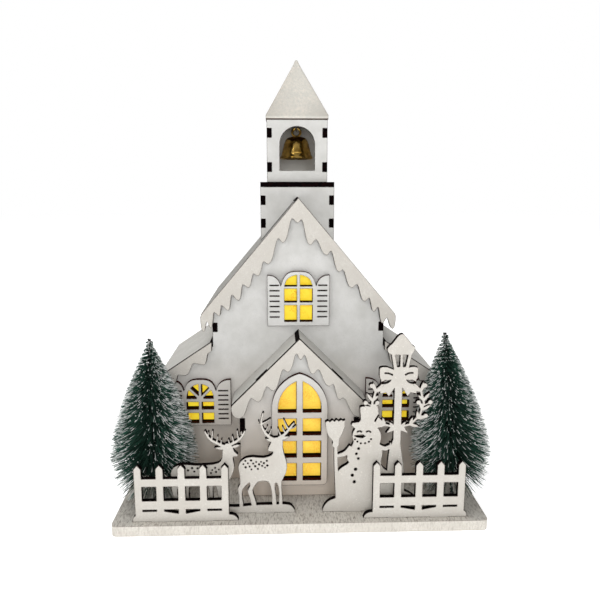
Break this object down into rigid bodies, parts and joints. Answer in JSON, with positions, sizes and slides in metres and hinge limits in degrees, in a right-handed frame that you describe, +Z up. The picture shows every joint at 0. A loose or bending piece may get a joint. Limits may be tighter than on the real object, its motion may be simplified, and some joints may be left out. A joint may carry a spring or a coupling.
{
  "type": "christmas village church",
  "caption": "Light-up village church cut from thin painted board, with icicle trim, a belfry with a swinging bell, picket fences, reindeer, a snowman and bottle-brush trees.",
  "frame": {"origin": "centre of the whole piece's bounding box in plan, on the underside of the base board", "axes": "+Z up; the front with the porch door faces -Y; +X is to the right when looking at the front"},
  "size_m": [0.3016, 0.218, 0.358],
  "materials": {
    "painted_board": "white-washed matt paint on thin fibreboard, cut edges scorched dark",
    "snowy_board": "matt ivory paint with a fine glitter, cut edges scorched dark",
    "roof_board": "coarse matt off-white paint on thin fibreboard",
    "burnt_board": "scorched fibreboard edge, matt",
    "glow_film": "translucent yellow film, lit from behind",
    "bell_brass": "aged brass, satin",
    "hook_wire": "bent steel wire",
    "tree_bristle": "dark green bristles with white frosting",
    "case_plastic": "moulded off-white plastic",
    "cell_jacket": "plain printed can",
    "contact_metal": "tin plated spring contacts",
    "knob_plastic": "black moulded plastic",
    "lamp_lens": "warm white lamp lens"
  },
  "bodies": {
    "church": {"base_board": "snowy_board", "front_wall": "painted_board", "back_wall": "painted_board", "nave_wall_left": "painted_board", "nave_wall_right": "painted_board", "main_roof_left": "roof_board", "main_roof_right": "roof_board", "main_fascia": "snowy_board", "wing_wall_left": "painted_board", "wing_wall_right": "painted_board", "wing_back_left": "painted_board", "wing_back_right": "painted_board", "wing_roof_left": "roof_board", "wing_roof_right": "roof_board", "wing_fascia_left": "snowy_board", "wing_fascia_right": "snowy_board", "porch_front_wall": "painted_board", "porch_wall_left": "painted_board", "porch_wall_right": "painted_board", "porch_roof_left": "roof_board", "porch_roof_right": "roof_board", "porch_fascia": "snowy_board", "upper_window_frame": "painted_board", "upper_window_film": "glow_film", "wing_window_frame_left": "painted_board", "wing_window_frame_right": "painted_board", "wing_window_film_left": "glow_film", "wing_window_film_right": "glow_film", "door_frame": "painted_board", "door_film": "glow_film", "tower_front": "painted_board", "tower_back": "painted_board", "tower_wall_left": "painted_board", "tower_wall_right": "painted_board", "tower_top_plate": "burnt_board", "belfry_front": "painted_board", "belfry_back": "painted_board", "belfry_wall_left": "painted_board", "belfry_wall_right": "painted_board", "steeple": "snowy_board", "bell_hook": "hook_wire", "fence_left": "snowy_board", "fence_right": "snowy_board", "reindeer_pair": "snowy_board", "snowman_and_lamp": "snowy_board", "tree_left": "tree_bristle", "tree_right": "tree_bristle", "battery_case": "case_plastic", "battery_cell_1": "cell_jacket", "battery_cell_2": "cell_jacket", "battery_contact_left": "contact_metal", "battery_contact_right": "contact_metal", "lamp_board": "case_plastic", "warm_lamp": "lamp_lens"},
    "bell": {"bell": "bell_brass"},
    "clapper": {"clapper": "bell_brass"},
    "cover": {"battery_cover": "case_plastic"},
    "switch": {"switch_knob": "knob_plastic"}
  },
  "joints": [
    {"name": "bell_swing", "type": "hinge", "parent": "church", "child": "bell", "pos_m": [0, 0.0195, 0.3004], "axis": [0, 1, 0], "range_deg": [-18, 18]},
    {"name": "clapper_swing", "type": "hinge", "parent": "bell", "child": "clapper", "pos_m": [0, 0.0195, 0.29188], "axis": [0, 1, 0], "range_deg": [-32, 32]},
    {"name": "cover_slide", "type": "slide", "parent": "church", "child": "cover", "axis": [-1, 0, 0], "range_m": [0, 0.055]},
    {"name": "switch_slide", "type": "slide", "parent": "church", "child": "switch", "axis": [0, 0, 1], "range_m": [0, 0.004]}
  ]
}
